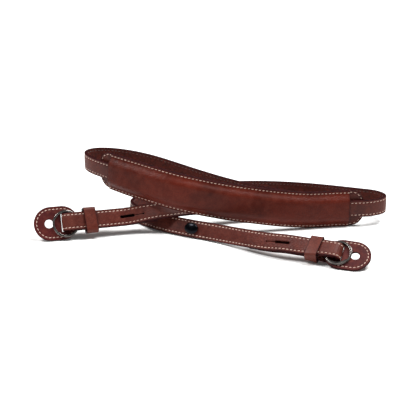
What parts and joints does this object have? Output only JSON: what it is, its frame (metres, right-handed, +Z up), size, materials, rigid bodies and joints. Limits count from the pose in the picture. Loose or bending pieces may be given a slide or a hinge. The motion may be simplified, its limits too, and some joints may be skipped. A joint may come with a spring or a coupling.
{
  "type": "camera neck strap",
  "caption": "Leather camera neck strap with a sewn shoulder pad, split rings in folded ends, sliding keepers and round protection flaps, laid down in two turns.",
  "frame": {"origin": "on the surface that the strap lies on, under the middle of its bounding box", "axes": "+X along the strap's laid length, towards the ring that lies nearer the viewer, +Z up, -Y towards the viewer of the picture"},
  "size_m": [0.2597, 0.1449, 0.0551],
  "materials": {
    "strap_leather": "pebbled reddish-brown calf, waxed",
    "pad_leather": "smooth reddish-brown calf, waxed",
    "lining_leather": "matt reddish-brown lining",
    "keeper_leather": "smooth brown calf",
    "flap_leather": "pebbled reddish-brown calf, waxed",
    "ring_metal": "polished dark nickel",
    "stud_metal": "gloss black"
  },
  "bodies": {
    "root": {"strap": "strap_leather", "pad_cover": "pad_leather", "pad_backing": "lining_leather", "keeper_left": "keeper_leather", "keeper_right": "keeper_leather", "split_ring_left": "ring_metal", "split_ring_right": "ring_metal", "flap_left": "flap_leather", "flap_right": "flap_leather", "stud_left": "stud_metal", "stud_right": "stud_metal"}
  },
  "joints": []
}
